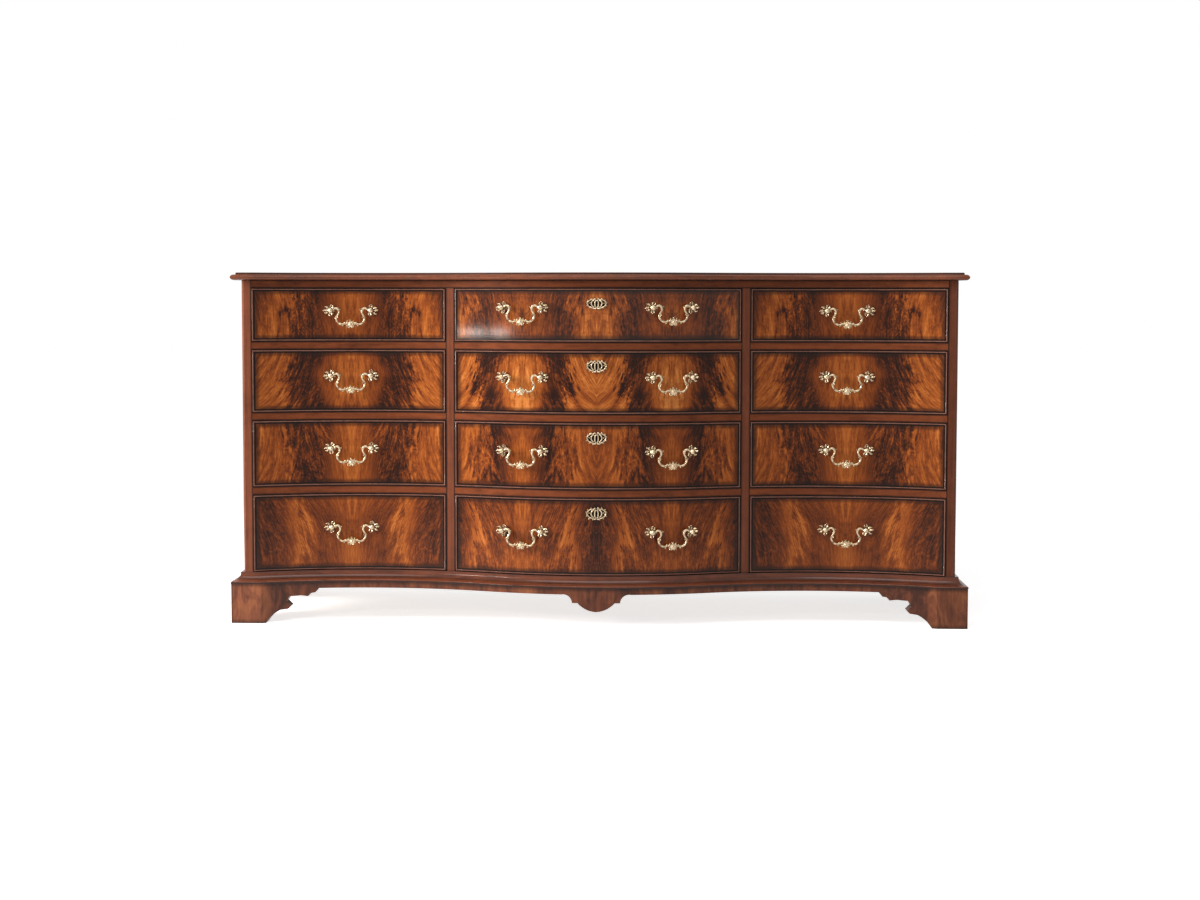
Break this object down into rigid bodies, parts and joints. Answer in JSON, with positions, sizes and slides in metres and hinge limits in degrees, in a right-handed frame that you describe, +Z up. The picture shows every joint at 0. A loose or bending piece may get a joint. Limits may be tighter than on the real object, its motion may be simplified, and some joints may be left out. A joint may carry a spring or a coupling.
{
  "type": "chest of drawers",
  "caption": "Wide serpentine-front dresser with cockbeaded drawers, swinging bail handles and bracket feet.",
  "frame": {"origin": "on the floor, at the centre of the whole dresser seen from above", "axes": "+X to the viewer's right when facing the front, +Y towards the back, +Z up"},
  "size_m": [1.912, 0.556, 0.915],
  "materials": {
    "polished_mahogany": "gloss polish",
    "mahogany": "gloss polish",
    "flame_mahogany": "gloss polish",
    "drawer_wood": "raw, sanded",
    "back_wood": "raw",
    "brass": "antique polished"
  },
  "bodies": {
    "case": {"top_board": "polished_mahogany", "side_panels": "mahogany", "partitions": "mahogany", "back_panel": "back_wood", "front_rails": "mahogany", "web_frames": "drawer_wood", "base_moulding": "mahogany", "bracket_base": "mahogany"},
    "drawer_bottom_left": {"drawer_front_bottom_left": "flame_mahogany", "drawer_box_bottom_left": "drawer_wood", "drawer_fittings_bottom_left": "brass"},
    "bail_bottom_left": {"bail_bottom_left": "brass"},
    "drawer_bottom_middle": {"drawer_front_bottom_middle": "flame_mahogany", "drawer_box_bottom_middle": "drawer_wood", "drawer_fittings_bottom_middle": "brass"},
    "bail_bottom_middle_left": {"bail_bottom_middle_left": "brass"},
    "bail_bottom_middle_right": {"bail_bottom_middle_right": "brass"},
    "drawer_bottom_right": {"drawer_front_bottom_right": "flame_mahogany", "drawer_box_bottom_right": "drawer_wood", "drawer_fittings_bottom_right": "brass"},
    "bail_bottom_right": {"bail_bottom_right": "brass"},
    "drawer_lower_left": {"drawer_front_lower_left": "flame_mahogany", "drawer_box_lower_left": "drawer_wood", "drawer_fittings_lower_left": "brass"},
    "bail_lower_left": {"bail_lower_left": "brass"},
    "drawer_lower_middle": {"drawer_front_lower_middle": "flame_mahogany", "drawer_box_lower_middle": "drawer_wood", "drawer_fittings_lower_middle": "brass"},
    "bail_lower_middle_left": {"bail_lower_middle_left": "brass"},
    "bail_lower_middle_right": {"bail_lower_middle_right": "brass"},
    "drawer_lower_right": {"drawer_front_lower_right": "flame_mahogany", "drawer_box_lower_right": "drawer_wood", "drawer_fittings_lower_right": "brass"},
    "bail_lower_right": {"bail_lower_right": "brass"},
    "drawer_upper_left": {"drawer_front_upper_left": "flame_mahogany", "drawer_box_upper_left": "drawer_wood", "drawer_fittings_upper_left": "brass"},
    "bail_upper_left": {"bail_upper_left": "brass"},
    "drawer_upper_middle": {"drawer_front_upper_middle": "flame_mahogany", "drawer_box_upper_middle": "drawer_wood", "drawer_fittings_upper_middle": "brass"},
    "bail_upper_middle_left": {"bail_upper_middle_left": "brass"},
    "bail_upper_middle_right": {"bail_upper_middle_right": "brass"},
    "drawer_upper_right": {"drawer_front_upper_right": "flame_mahogany", "drawer_box_upper_right": "drawer_wood", "drawer_fittings_upper_right": "brass"},
    "bail_upper_right": {"bail_upper_right": "brass"},
    "drawer_top_left": {"drawer_front_top_left": "flame_mahogany", "drawer_box_top_left": "drawer_wood", "drawer_fittings_top_left": "brass"},
    "bail_top_left": {"bail_top_left": "brass"},
    "drawer_top_middle": {"drawer_front_top_middle": "flame_mahogany", "drawer_box_top_middle": "drawer_wood", "drawer_fittings_top_middle": "brass"},
    "bail_top_middle_left": {"bail_top_middle_left": "brass"},
    "bail_top_middle_right": {"bail_top_middle_right": "brass"},
    "drawer_top_right": {"drawer_front_top_right": "flame_mahogany", "drawer_box_top_right": "drawer_wood", "drawer_fittings_top_right": "brass"},
    "bail_top_right": {"bail_top_right": "brass"}
  },
  "joints": [
    {"name": "slide_bottom_left", "type": "slide", "parent": "case", "child": "drawer_bottom_left", "axis": [0, -1, 0], "range_m": [0, 0.34]},
    {"name": "lift_bottom_left", "type": "hinge", "parent": "drawer_bottom_left", "child": "bail_bottom_left", "pos_m": [-0.64745, -0.17871, 0.246], "axis": [-0.9965, -0.0837, 0], "range_deg": [0, 110]},
    {"name": "slide_bottom_middle", "type": "slide", "parent": "case", "child": "drawer_bottom_middle", "axis": [0, -1, 0], "range_m": [0, 0.34]},
    {"name": "lift_bottom_middle_left", "type": "hinge", "parent": "drawer_bottom_middle", "child": "bail_bottom_middle_left", "pos_m": [-0.19631, -0.24233, 0.246], "axis": [-0.977, 0.2133, 0], "range_deg": [0, 110]},
    {"name": "lift_bottom_middle_right", "type": "hinge", "parent": "drawer_bottom_middle", "child": "bail_bottom_middle_right", "pos_m": [0.19631, -0.24233, 0.246], "axis": [-0.977, -0.2133, 0], "range_deg": [0, 110]},
    {"name": "slide_bottom_right", "type": "slide", "parent": "case", "child": "drawer_bottom_right", "axis": [0, -1, 0], "range_m": [0, 0.34]},
    {"name": "lift_bottom_right", "type": "hinge", "parent": "drawer_bottom_right", "child": "bail_bottom_right", "pos_m": [0.64745, -0.17871, 0.246], "axis": [-0.9965, 0.0837, 0], "range_deg": [0, 110]},
    {"name": "slide_lower_left", "type": "slide", "parent": "case", "child": "drawer_lower_left", "axis": [0, -1, 0], "range_m": [0, 0.34]},
    {"name": "lift_lower_left", "type": "hinge", "parent": "drawer_lower_left", "child": "bail_lower_left", "pos_m": [-0.64745, -0.17871, 0.4545], "axis": [-0.9965, -0.0837, 0], "range_deg": [0, 110]},
    {"name": "slide_lower_middle", "type": "slide", "parent": "case", "child": "drawer_lower_middle", "axis": [0, -1, 0], "range_m": [0, 0.34]},
    {"name": "lift_lower_middle_left", "type": "hinge", "parent": "drawer_lower_middle", "child": "bail_lower_middle_left", "pos_m": [-0.19631, -0.24233, 0.4545], "axis": [-0.977, 0.2133, 0], "range_deg": [0, 110]},
    {"name": "lift_lower_middle_right", "type": "hinge", "parent": "drawer_lower_middle", "child": "bail_lower_middle_right", "pos_m": [0.19631, -0.24233, 0.4545], "axis": [-0.977, -0.2133, 0], "range_deg": [0, 110]},
    {"name": "slide_lower_right", "type": "slide", "parent": "case", "child": "drawer_lower_right", "axis": [0, -1, 0], "range_m": [0, 0.34]},
    {"name": "lift_lower_right", "type": "hinge", "parent": "drawer_lower_right", "child": "bail_lower_right", "pos_m": [0.64745, -0.17871, 0.4545], "axis": [-0.9965, 0.0837, 0], "range_deg": [0, 110]},
    {"name": "slide_upper_left", "type": "slide", "parent": "case", "child": "drawer_upper_left", "axis": [0, -1, 0], "range_m": [0, 0.34]},
    {"name": "lift_upper_left", "type": "hinge", "parent": "drawer_upper_left", "child": "bail_upper_left", "pos_m": [-0.64745, -0.17871, 0.6455], "axis": [-0.9965, -0.0837, 0], "range_deg": [0, 110]},
    {"name": "slide_upper_middle", "type": "slide", "parent": "case", "child": "drawer_upper_middle", "axis": [0, -1, 0], "range_m": [0, 0.34]},
    {"name": "lift_upper_middle_left", "type": "hinge", "parent": "drawer_upper_middle", "child": "bail_upper_middle_left", "pos_m": [-0.19631, -0.24233, 0.6455], "axis": [-0.977, 0.2133, 0], "range_deg": [0, 110]},
    {"name": "lift_upper_middle_right", "type": "hinge", "parent": "drawer_upper_middle", "child": "bail_upper_middle_right", "pos_m": [0.19631, -0.24233, 0.6455], "axis": [-0.977, -0.2133, 0], "range_deg": [0, 110]},
    {"name": "slide_upper_right", "type": "slide", "parent": "case", "child": "drawer_upper_right", "axis": [0, -1, 0], "range_m": [0, 0.34]},
    {"name": "lift_upper_right", "type": "hinge", "parent": "drawer_upper_right", "child": "bail_upper_right", "pos_m": [0.64745, -0.17871, 0.6455], "axis": [-0.9965, 0.0837, 0], "range_deg": [0, 110]},
    {"name": "slide_top_left", "type": "slide", "parent": "case", "child": "drawer_top_left", "axis": [0, -1, 0], "range_m": [0, 0.34]},
    {"name": "lift_top_left", "type": "hinge", "parent": "drawer_top_left", "child": "bail_top_left", "pos_m": [-0.64745, -0.17871, 0.817], "axis": [-0.9965, -0.0837, 0], "range_deg": [0, 110]},
    {"name": "slide_top_middle", "type": "slide", "parent": "case", "child": "drawer_top_middle", "axis": [0, -1, 0], "range_m": [0, 0.34]},
    {"name": "lift_top_middle_left", "type": "hinge", "parent": "drawer_top_middle", "child": "bail_top_middle_left", "pos_m": [-0.19631, -0.24233, 0.825], "axis": [-0.977, 0.2133, 0], "range_deg": [0, 110]},
    {"name": "lift_top_middle_right", "type": "hinge", "parent": "drawer_top_middle", "child": "bail_top_middle_right", "pos_m": [0.19631, -0.24233, 0.825], "axis": [-0.977, -0.2133, 0], "range_deg": [0, 110]},
    {"name": "slide_top_right", "type": "slide", "parent": "case", "child": "drawer_top_right", "axis": [0, -1, 0], "range_m": [0, 0.34]},
    {"name": "lift_top_right", "type": "hinge", "parent": "drawer_top_right", "child": "bail_top_right", "pos_m": [0.64745, -0.17871, 0.817], "axis": [-0.9965, 0.0837, 0], "range_deg": [0, 110]}
  ]
}
